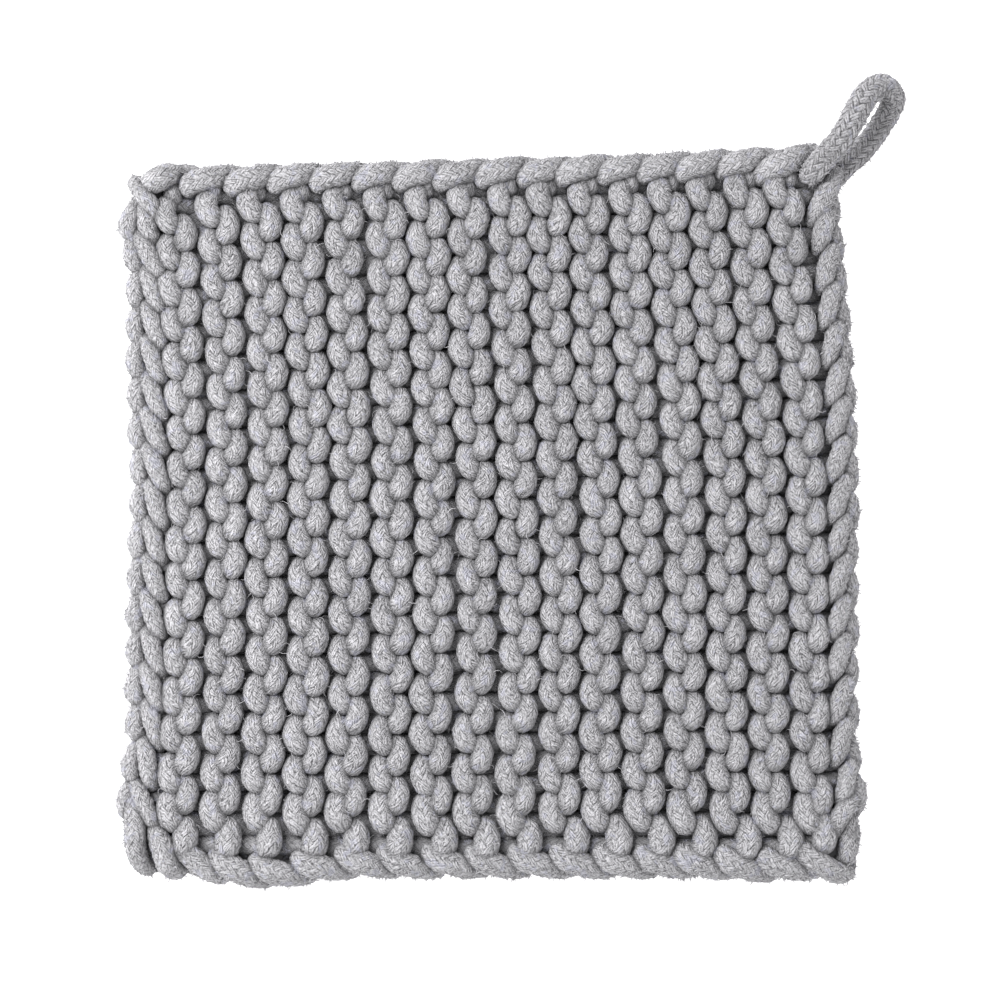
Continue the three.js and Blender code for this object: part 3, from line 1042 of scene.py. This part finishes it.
def ride(obj, node):
    """Put a piece on its body, in place of a node's plain solid."""
    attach(obj, BODY)
    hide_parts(node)


# Links of the chain edges: across, along, height, radius. On the back and front edges
# the places are counted from a valley and from the rim, and on the left and right edges
# from the rim and from a line of half stitches.
BACK_LINK = (
    (3.5, -6.1, 6.6, 2.7),
    (3.0, -5.1, 9.5, 3.1),
    (4.7, -4.2, 10.6, 3.35),
    (7.7, -3.4, 10.5, 3.3),
    (10.9, -2.8, 9.3, 3.0),
    (13.7, -2.6, 7.4, 2.6),
    (15.6, -2.9, 5.6, 2.2),
)
BACK_FIRST_LINK = (
    (4.2, -4.2, 6.6, 2.6),
    (3.7, -3.5, 9.5, 3.0),
    (5.0, -3.2, 10.8, 3.4),
    (7.2, -2.6, 10.7, 3.35),
    (9.3, -2.2, 9.3, 2.95),
    (11.0, -2.2, 7.4, 2.5),
    (12.4, -2.8, 5.6, 2.1),
)
BACK_LAST_LINK = (
    (3.2, -7.6, 6.6, 2.9),
    (2.7, -6.6, 9.5, 3.4),
    (4.7, -5.3, 10.6, 3.65),
    (8.0, -3.9, 10.5, 3.55),
    (11.6, -2.6, 9.3, 3.3),
    (14.6, -1.9, 7.4, 2.9),
    (16.6, -1.9, 5.6, 2.4),
)
BACK_UNDER_LINK = (
    (4.6, -4.6, 3.6, 2.4),
    (7.6, -3.0, 5.4, 2.8),
    (11.6, -2.3, 7.0, 2.8),
    (15.6, -2.5, 7.2, 2.6),
    (18.1, -3.6, 5.5, 2.3),
)
BACK_LINK_BELOW = (
    (2.6, -6.6, 5.0, 2.5),
    (5.1, -5.2, 3.5, 2.9),
    (9.1, -4.0, 3.2, 3.0),
    (13.1, -3.4, 3.8, 2.7),
    (16.1, -3.6, 5.5, 2.3),
)
BACK_RISER = (
    (7.7, -4.4, 6.0, 2.3),
    (9.1, -5.9, 8.0, 2.6),
    (9.3, -7.8, 8.3, 2.7),
    (8.3, -9.8, 7.2, 2.5),
    (7.1, -11.4, 5.4, 2.1),
)
BACK_STRAND = (
    (12.2, -6.6, 4.6, 1.8),
    (13.0, -8.4, 5.6, 1.9),
    (14.4, -10.8, 5.8, 1.9),
    (15.4, -13.0, 4.8, 1.8),
)
FRONT_LINK = (
    (4.6, 7.0, 6.8, 2.8),
    (5.3, 6.1, 9.6, 3.3),
    (7.3, 4.9, 10.8, 3.5),
    (10.5, 3.8, 10.7, 3.4),
    (14.0, 2.6, 9.4, 3.05),
    (17.2, 1.9, 7.4, 2.6),
    (19.6, 1.8, 5.4, 2.2),
)
FRONT_FIRST_LINK = (
    (5.4, 9.3, 6.6, 2.4),
    (6.2, 8.6, 9.4, 2.9),
    (9.4, 6.2, 10.7, 3.2),
    (12.8, 3.6, 10.2, 3.1),
    (16.0, 2.0, 8.4, 2.8),
    (18.0, 1.6, 6.0, 2.3),
)
FRONT_LAST_LINK = (
    (4.2, 8.6, 6.8, 2.7),
    (4.9, 7.6, 9.6, 3.1),
    (7.0, 5.6, 10.8, 3.3),
    (10.4, 3.3, 10.6, 3.2),
    (13.6, 1.4, 9.4, 3.0),
    (16.0, 0.9, 7.6, 2.8),
    (17.4, 1.6, 5.6, 2.4),
)
FRONT_UNDER_LINK = (
    (4.0, 6.2, 5.0, 2.5),
    (7.0, 4.6, 3.6, 2.9),
    (10.5, 3.4, 3.2, 3.0),
    (14.0, 2.6, 3.8, 2.8),
    (18.0, 2.4, 5.6, 2.4),
)
FRONT_RISER = (
    (0.2, 6.0, 4.4, 1.8),
    (1.0, 7.4, 5.8, 2.0),
    (2.6, 9.4, 6.4, 2.1),
    (4.2, 11.6, 5.8, 2.0),
    (5.0, 13.4, 4.4, 1.8),
)
LEFT_INNER_LINK = (
    (3.9, 6.2, 6.0, 2.0),
    (4.3, 4.9, 8.4, 2.35),
    (5.4, 1.8, 10.2, 2.65),
    (6.6, -1.6, 10.6, 2.65),
    (7.8, -4.6, 9.8, 2.45),
    (8.5, -6.6, 7.4, 2.1),
)
LEFT_OUTER_LINK = (
    (4.4, 5.0, 6.0, 2.2),
    (2.7, 3.2, 7.6, 2.6),
    (1.5, 0.6, 8.4, 2.85),
    (1.5, -1.9, 8.2, 2.85),
    (3.0, -4.3, 7.0, 2.5),
    (4.8, -5.6, 5.4, 2.2),
)
LEFT_UNDER_LINK = (
    (2.8, 5.0, 5.6, 2.3),
    (1.9, 2.6, 4.2, 2.6),
    (2.2, -1.0, 3.4, 2.8),
    (3.8, -4.4, 3.6, 2.6),
    (5.4, -6.4, 4.8, 2.3),
)
RIGHT_INNER_LINK = (
    (-2.6, 6.4, 6.0, 2.1),
    (-3.1, 4.7, 8.8, 2.45),
    (-4.2, 1.4, 10.3, 2.7),
    (-5.3, -1.8, 10.6, 2.7),
    (-6.3, -4.6, 9.8, 2.4),
    (-6.9, -6.3, 7.2, 2.1),
)
RIGHT_OUTER_LINK = (
    (-5.0, 2.4, 7.0, 1.9),
    (-3.2, 0.4, 8.9, 2.3),
    (-2.2, -2.9, 8.5, 2.55),
    (-2.1, -6.2, 6.9, 2.5),
    (-3.1, -9.2, 5.2, 2.2),
    (-5.0, -11.0, 4.4, 1.8),
)
RIGHT_UNDER_LINK = (
    (-5.4, 2.2, 2.6, 1.9),
    (-3.8, -0.4, 2.7, 2.3),
    (-2.9, -3.8, 3.2, 2.6),
    (-3.1, -7.0, 4.3, 2.5),
    (-4.6, -9.9, 5.4, 2.1),
)

# Points of a link's cord from one row of its table to the next.
LINK_STEPS = 9
UNDER_STEPS = 5

# Where the valleys and the half stitches are read for the links, where the links start
# and end, and how they have crept: by ridge, or as place, reach and amount.
EDGE_Y = 92.0
EDGE_X = 92.0
BACK_START = -0.1
BACK_CREEP = ((0, 1, 3, 6, 10, 15), (-5.1, -5.1, -2.6, -1.8, -0.4, -1.0))
BACK_LINK_END = 82.0
FRONT_CREEP = (6.0, 38.0, 1.9)
FRONT_LINK_START = -96.0
SIDE_X = 94.0
LEFT_LEVEL = 1.08
LEFT_CREEP = (-58.0, 24.0, 1.8)
RIGHT_LEVEL = 0.66

# Strands that turn the corners: across, along, height, radius.
CORNER_AT_LOOP = (
    (78.0, 97.4, 6.4, 2.6),
    (81.6, 98.8, 6.9, 2.9),
    (85.6, 99.0, 6.9, 3.0),
    (89.2, 96.4, 6.4, 2.8),
    (91.0, 92.6, 6.0, 2.6),
)
CORNER_STRAND = (
    (91.6, 94.4, 6.6, 2.4),
    (90.6, 92.0, 9.0, 2.8),
    (89.0, 88.0, 10.2, 3.0),
    (87.0, 83.8, 9.8, 2.9),
    (85.6, 80.6, 7.2, 2.5),
)
CORNER_RIGHT = (
    (96.8, -72.0, 6.5, 2.4),
    (96.0, -75.0, 9.0, 2.7),
    (93.6, -79.0, 10.4, 2.9),
    (91.4, -82.8, 10.0, 2.8),
    (90.6, -85.6, 7.4, 2.4),
)
CORNER_RIGHT_LAST = (
    (95.4, -79.0, 5.6, 2.3),
    (95.2, -82.2, 7.8, 2.7),
    (95.2, -86.4, 8.8, 2.85),
    (94.9, -90.4, 8.2, 2.75),
    (93.6, -93.2, 6.0, 2.4),
)
CORNER_FRONT_FIRST = (
    (-92.6, -82.2, 6.6, 2.3),
    (-91.9, -84.8, 9.4, 2.9),
    (-90.2, -88.6, 10.8, 3.3),
    (-89.2, -92.0, 10.0, 3.4),
    (-87.8, -94.3, 7.6, 3.0),
    (-85.8, -95.2, 5.0, 2.3),
)
CORNER_LEFT = (
    (-98.2, -73.4, 6.5, 2.4),
    (-98.4, -76.4, 9.0, 2.75),
    (-97.8, -82.0, 10.0, 3.0),
    (-97.6, -88.2, 9.4, 3.0),
    (-96.4, -92.6, 7.2, 2.8),
    (-94.2, -94.8, 4.8, 2.4),
)
CORNER_LEFT_BELOW = (
    (-97.2, -80.0, 5.4, 2.5),
    (-96.8, -85.0, 4.4, 2.9),
    (-94.8, -90.4, 4.0, 3.0),
    (-90.8, -93.6, 3.8, 2.8),
)
CORNER_FIRST = (
    (-98.2, 91.7, 6.4, 2.0),
    (-97.2, 90.3, 8.8, 2.25),
    (-95.4, 87.7, 10.8, 2.5),
    (-93.3, 84.9, 11.4, 2.55),
    (-91.9, 82.4, 9.8, 2.3),
)


def link_path(table, place, rng, steps=LINK_STEPS):
    """Smooth cord through the rows of a table, shifted a little at random."""
    shift = rng.uniform(-LINK_STRAY, LINK_STRAY, 3)
    points = []
    for across, along, z, radius in table:
        x, y = place(across, along)
        points.append((x + shift[0], y + shift[1], max(z + shift[2], radius + CLEAR_OF_TABLE)))
    return through(points, [row[3] for row in table], steps)


def back_edge(knit, rng):
    """Chain of the back edge, a link for each ridge, with the strands that join it."""
    paths = []
    for i in range(knit.ridges):
        base = float(valley_x(i, EDGE_Y, knit.ridges)) + BACK_START + float(np.interp(i, *BACK_CREEP))

        def place(across, along, base=base):
            x = base + across
            return x, float(back_rim(min(x, BACK_LINK_END))) + along

        upper = {0: BACK_FIRST_LINK, knit.ridges - 1: BACK_LAST_LINK}.get(i, BACK_LINK)
        paths.append(link_path(upper, place, rng))
        paths.append(link_path(BACK_UNDER_LINK, place, rng, UNDER_STEPS))
        paths.append(link_path(BACK_LINK_BELOW, place, rng, UNDER_STEPS))
        paths.append(link_path(BACK_RISER, place, rng))
        paths.append(link_path(BACK_STRAND, place, rng))
    return paths


def front_edge(knit, rng):
    """Chain of the front edge, a link for each ridge, with the strands that join it."""
    paths = []
    for i in range(knit.ridges):
        base = float(valley_x(i, -EDGE_Y, knit.ridges))
        base += hump(base, *FRONT_CREEP)

        def place(across, along, base=base):
            x = max(base + across, FRONT_LINK_START)
            return x, float(front_rim(np.clip(x, -EDGE_X, EDGE_X))) + along

        upper = {0: FRONT_FIRST_LINK, knit.ridges - 1: FRONT_LAST_LINK}.get(i, FRONT_LINK)
        paths.append(link_path(upper, place, rng))
        paths.append(link_path(FRONT_UNDER_LINK, place, rng, UNDER_STEPS))
        paths.append(link_path(FRONT_RISER, place, rng))
    return paths


def side_edges(knit, rng):
    """Chains of the left and the right edge, a link for each stitch."""
    left, right = [], []
    for m in range(knit.stitches):

        def at_left(across, along, level=2 * m + LEFT_LEVEL):
            y = float(half_stitch_y(level, -SIDE_X, knit.stitches))
            y += float(hump(y, *LEFT_CREEP)) + along
            return float(left_rim(y)) + across, y

        def at_right(across, along, level=2 * m + RIGHT_LEVEL):
            y = float(half_stitch_y(level, SIDE_X, knit.stitches)) + along
            return float(right_rim(y)) + across, y

        left.append(link_path(LEFT_INNER_LINK, at_left, rng))
        left.append(link_path(LEFT_OUTER_LINK, at_left, rng))
        left.append(link_path(LEFT_UNDER_LINK, at_left, rng, UNDER_STEPS))
        if 0 < m < knit.stitches - 1:
            right.append(link_path(RIGHT_INNER_LINK, at_right, rng))
        right.append(link_path(RIGHT_OUTER_LINK, at_right, rng))
        right.append(link_path(RIGHT_UNDER_LINK, at_right, rng, UNDER_STEPS))
    return left, right


class COASTER_OT_knit_rows(bpy.types.Operator):
    """Knit the rows of the square, each one a length of cord in loops"""

    bl_idname = "coaster.knit_rows"
    bl_label = "Rows"

    def execute(self, context):
        knit = context.scene.coaster_knit
        rng = np.random.default_rng(SEED)
        PATHS.clear()
        for name, high in zip(ROWS, (True, False)):
            PATHS[name] = [row_path(knit, ridge, high, rng) for ridge in range(knit.ridges)]
            ride(cord_object(name, PATHS[name], cotton()), "knitted_square")
        return {"FINISHED"}


class COASTER_OT_chain_edges(bpy.types.Operator):
    """Chain the four edges, one link for each ridge or stitch"""

    bl_idname = "coaster.chain_edges"
    bl_label = "Chain edges"

    def execute(self, context):
        knit = context.scene.coaster_knit
        rng = np.random.default_rng(SEED + 1)
        back, front = back_edge(knit, rng), front_edge(knit, rng)
        left, right = side_edges(knit, rng)
        corners = (
            (back, (CORNER_AT_LOOP, CORNER_STRAND)),
            (right, (CORNER_RIGHT, CORNER_RIGHT_LAST)),
            (front, (CORNER_FRONT_FIRST, CORNER_LEFT, CORNER_LEFT_BELOW)),
            (left, (CORNER_FIRST,)),
        )
        for paths, tables in corners:
            for table in tables:
                paths.append(through([row[:3] for row in table], [row[3] for row in table], LINK_STEPS))
        for name, paths in zip(EDGES, (back, front, left, right)):
            PATHS[name] = paths
            ride(cord_object(name, paths, cotton(), sides=16, rough=0.36), "knitted_square")
        mark_creases()
        return {"FINISHED"}


# Middle line of the hanging loop's cord.
LOOP_PATH = (
    (84.6, 93.3, 9.8),
    (85.9, 94.7, 12.6),
    (89.5, 98.9, 14.0),
    (92.8, 102.6, 15.1),
    (95.0, 106.3, 15.3),
    (97.5, 110.9, 14.6),
    (100.6, 115.5, 12.1),
    (104.4, 117.4, 9.3),
    (107.4, 114.8, 6.6),
    (106.9, 111.5, 4.8),
    (104.9, 108.0, 3.9),
    (102.6, 104.5, 3.5),
    (99.6, 100.8, 3.5),
    (96.9, 98.3, 3.5),
    (95.3, 96.9, 3.5),
    (93.8, 95.2, 3.5),
    (91.6, 92.6, 3.8),
    (89.8, 90.2, 4.6),
)
LOOP_RADIUS = (
    3.1, 3.3, 3.35, 3.35, 3.4, 3.5, 3.45, 3.35, 3.3,
    3.15, 3.1, 3.1, 3.2, 3.3, 3.2, 3.1, 3.0, 3.0,
)
LOOP_STEPS = 15


class COASTER_OT_hanging_loop(bpy.types.Operator):
    """Bend the end of the cord into the hanging loop"""

    bl_idname = "coaster.hanging_loop"
    bl_label = "Hanging loop"

    def execute(self, context):
        look = context.scene.coaster_yarn
        points, radius = through(LOOP_PATH, LOOP_RADIUS, LOOP_STEPS)
        # Painted shade: the loop gets a darker copy of the cotton's colour.
        shaded = tuple(LOOP_PAINTED_SHADE * v for v in look.light)
        material = braided_cotton(
            "grey_braided_loop", shaded, tuple(look.shade_colour), LOOP_CRISP, LOOP_PLAITS
        )
        loop = cord_object("loop_cord", [(points, radius)], material, sides=64, rough=0.1, relief=0.45)
        drop(loop.data, "cord_number")
        ride(loop, "hanging_loop")
        return {"FINISHED"}


def fuzzy_face(place, way):
    """How fuzzy the knitting is, which is most on the flanks of its bumps."""
    slope = np.clip(way[:, 2] + 0.2, 0, 1) * (1.4 - way[:, 2])
    return ramp(place[:, 2], 7.0, 2.0) * slope


def fuzzy_rim(place, way):
    """How fuzzy the edges are, which is most where they face outwards."""
    x, y, z = place.T
    far = back_rim(np.minimum(x, BACK_RIM_END))
    depth = np.stack([x - left_rim(y), right_rim(y) - x, y - front_rim(x), far - y])
    facing = np.stack([-way[:, 0], way[:, 0], -way[:, 1], way[:, 1]])
    open_side = np.clip((3.0 - depth) / 1.5, 0, 1) * np.clip(3 * facing - 1.4, 0, 1)
    return 2.0 * open_side.max(axis=0) * ramp(z, 2.0, 1.5) + 0.1 * fuzzy_face(place, way)


def fuzzy_loop(place, way):
    """How fuzzy the loop is, which is most on its sides."""
    return ramp(place[:, 2], 2.4, 1.0) * np.clip(1.2 - np.abs(way[:, 2]), 0, 1)


class COASTER_OT_loose_fibres(bpy.types.Operator):
    """Raise the fuzz of loose cotton fibres on the upper face, the rims and the loop"""

    bl_idname = "coaster.loose_fibres"
    bl_label = "Loose fibres"

    def execute(self, context):
        look = context.scene.coaster_yarn
        # Painted light and shade: the loose fibres on the upper face are painted lighter than the cotton,
        # those on the rims and the loop darker.
        light = plain_fibre("loose_cotton", tuple(1.1 * v for v in look.light))
        shaded_fuzz = plain_fibre("loose_rim_cotton", tuple(0.85 * v for v in look.light))
        fuzz = (
            ("fuzz_rows", ROWS, FUZZ_ROWS, light, fuzzy_face, "knitted_square"),
            ("fuzz_edges", EDGES, FUZZ_EDGES, shaded_fuzz, fuzzy_rim, "knitted_square"),
            ("fuzz_loop", ("loop_cord",), FUZZ_LOOP, shaded_fuzz, fuzzy_loop, "hanging_loop"),
        )
        for seed, (name, on, sizes, material, fuzzy_at, node) in enumerate(fuzz, SEED + 2):
            share, length, thickness, bends = sizes
            pieces = [bpy.data.objects[piece] for piece in on]
            count = round(share * look.hairs)
            hairs = (count, length * MM, thickness * MM, bends)
            ride(fibres_on(name, pieces, *hairs, material, seed, fuzzy_at), node)
        return {"FINISHED"}


class COASTER_OT_inner_ground(bpy.types.Operator):
    """Lay the pressed inner strands that show deep between the ridges"""

    bl_idname = "coaster.inner_ground"
    bl_label = "Inner ground"

    def execute(self, context):
        look = context.scene.coaster_yarn
        cells = GROUND_CELLS
        verts, faces = [], []
        for layer in (GROUND_HALF, -GROUND_HALF):
            for j in range(cells + 1):
                v = j / cells
                y0 = -GROUND_SPAN + 2 * GROUND_SPAN * v
                left, right = float(left_rim(y0)), float(right_rim(y0))
                for i in range(cells + 1):
                    u = i / cells
                    x0 = left * (1 - u) + right * u
                    near = float(front_rim(x0)) + GROUND_INSET
                    far = float(back_rim(min(x0, BACK_RIM_END))) - GROUND_INSET
                    y = near + (far - near) * v
                    x1, x2 = float(left_rim(y)) + GROUND_INSET, float(right_rim(y)) - GROUND_INSET
                    x = x1 + (x2 - x1) * u
                    wave = math.sin(1.9 * x + 0.7 * math.sin(0.6 * y)) * math.sin(0.62 * y)
                    z = GROUND_HEIGHT + GROUND_WAVE * wave
                    verts.append((x * MM, y * MM, (z + layer) * MM))

        def at(layer, i, j):
            return (layer * (cells + 1) + j) * (cells + 1) + i

        for j in range(cells):
            for i in range(cells):
                faces.append((at(0, i, j), at(0, i + 1, j), at(0, i + 1, j + 1), at(0, i, j + 1)))
                faces.append((at(1, i, j), at(1, i, j + 1), at(1, i + 1, j + 1), at(1, i + 1, j)))
        ring = [(i, 0) for i in range(cells)] + [(cells, j) for j in range(cells)]
        ring += [(i, cells) for i in range(cells, 0, -1)] + [(0, j) for j in range(cells, 0, -1)]
        for (i, j), (i2, j2) in zip(ring, ring[1:] + ring[:1]):
            faces.append((at(0, i, j), at(1, i, j), at(1, i2, j2), at(0, i2, j2)))
        mesh = bpy.data.meshes.new("inner_ground")
        mesh.from_pydata(verts, [], faces)
        mesh.polygons.foreach_set("use_smooth", [True] * len(faces))
        # Painted shade: the inner layer is coloured half as bright as the cotton, to stand for the shade
        # deep between the ridges.
        mesh.materials.append(plain_fibre("pressed_cotton", tuple(0.5 * v for v in look.light)))
        ride(linked("inner_ground", mesh), "knitted_square")
        return {"FINISHED"}


class COASTER_OT_stage(bpy.types.Operator):
    """Set up the pale floor, the soft light and the camera above"""

    bl_idname = "coaster.stage"
    bl_label = "Stage"

    def execute(self, context):
        stage = context.scene.coaster_stage
        mesh = bpy.data.meshes.new("floor")
        corners = [(FLOOR_HALF * x, FLOOR_HALF * y, 0) for x, y in ((-1, -1), (1, -1), (1, 1), (-1, 1))]
        mesh.from_pydata(corners, [], [(0, 1, 2, 3)])
        white = {
            "Base Color": (0.92, 0.92, 0.92, 1),
            "Roughness": 0.9,
            "Emission Color": (1, 1, 1, 1),
            "Emission Strength": 0.85,
        }
        mesh.materials.append(shader("white_floor", white)[0])
        made = [linked("floor", mesh)]
        for name, place, size, power in LAMPS:
            data = bpy.data.lights.new(name, "AREA")
            data.shape = "SQUARE"
            data.size = size
            data.energy = power
            lamp = linked(name, data)
            lamp.location = place
            lamp.rotation_mode = "QUATERNION"
            lamp.rotation_quaternion = (-Vector(place)).to_track_quat("-Z", "Y")
            lamp.visible_camera = False
            made.append(lamp)
        world = bpy.data.worlds.new("soft_light")
        world.use_nodes = True
        background = world.node_tree.nodes["Background"]
        background.inputs["Color"].default_value = (1, 1, 1, 1)
        background.inputs["Strength"].default_value = 0.5
        context.scene.world = world
        context.scene.view_settings.view_transform = "Standard"

        data = bpy.data.cameras.new("camera")
        data.sensor_width = SENSOR
        data.lens = SENSOR * (stage.height - SEEN_HEIGHT) / stage.across
        camera = linked("camera", data)
        camera.location = (*CAMERA_PLACE, stage.height)
        context.scene.camera = camera
        return {"FINISHED"}


class COASTER_PT_panel(bpy.types.Panel):
    """Steps that build the coaster"""

    bl_idname = "COASTER_PT_panel"
    bl_label = "Coaster"
    bl_space_type = "VIEW_3D"
    bl_region_type = "UI"
    bl_category = "Coaster"

    def draw(self, context):
        layout = self.layout
        for group in (context.scene.coaster_knit, context.scene.coaster_yarn, context.scene.coaster_stage):
            for key in group.__annotations__:
                layout.prop(group, key)
        for operator in OPERATORS:
            layout.operator(operator.bl_idname)


OPERATORS = (
    COASTER_OT_knit_rows,
    COASTER_OT_chain_edges,
    COASTER_OT_hanging_loop,
    COASTER_OT_loose_fibres,
    COASTER_OT_inner_ground,
    COASTER_OT_stage,
)
GROUPS = (
    ("coaster_knit", CoasterKnit),
    ("coaster_yarn", CoasterYarn),
    ("coaster_stage", CoasterStage),
)


def register():
    for name, group in GROUPS:
        bpy.utils.register_class(group)
        setattr(bpy.types.Scene, name, bpy.props.PointerProperty(type=group))
    for cls in (*OPERATORS, COASTER_PT_panel):
        bpy.utils.register_class(cls)


def unregister():
    for cls in (COASTER_PT_panel, *reversed(OPERATORS)):
        bpy.utils.unregister_class(cls)
    for name, group in reversed(GROUPS):
        delattr(bpy.types.Scene, name)
        bpy.utils.unregister_class(group)


def main():
    register()
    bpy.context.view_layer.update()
    bpy.ops.coaster.knit_rows()
    bpy.ops.coaster.chain_edges()
    bpy.ops.coaster.hanging_loop()
    bpy.ops.coaster.loose_fibres()
    bpy.ops.coaster.inner_ground()
    bpy.ops.coaster.stage()


if __name__ == "__main__":
    main()
